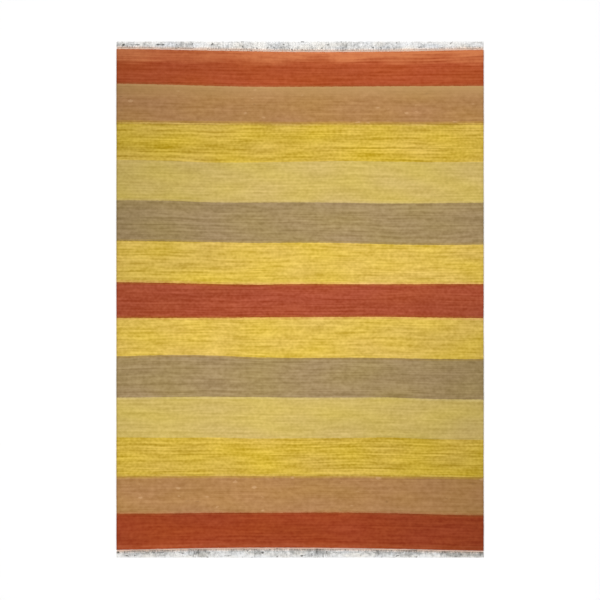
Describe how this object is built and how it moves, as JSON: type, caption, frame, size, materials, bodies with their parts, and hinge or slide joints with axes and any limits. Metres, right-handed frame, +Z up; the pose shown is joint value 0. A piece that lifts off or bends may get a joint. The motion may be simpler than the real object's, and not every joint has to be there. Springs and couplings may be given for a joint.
{
  "type": "kilim rug",
  "caption": "Flat-woven kilim rug lying flat, in plain cross stripes of wool, with a knotted cotton fringe along each short end.",
  "frame": {"origin": "on the floor, under the middle of the rug with its fringes", "axes": "+X across the rug along the weft, +Y along the warp to the fringe that is at the picture's top, +Z up"},
  "size_m": [1.7, 2.39, 0.0052],
  "materials": {
    "wool_weave": "matte flat weave in stripes of rust, tan, gold, straw, taupe and brick",
    "cotton_fringe": "matte undyed cotton"
  },
  "bodies": {
    "root": {"kilim_cloth": "wool_weave", "fringe_far": "cotton_fringe", "fringe_near": "cotton_fringe"}
  },
  "joints": []
}
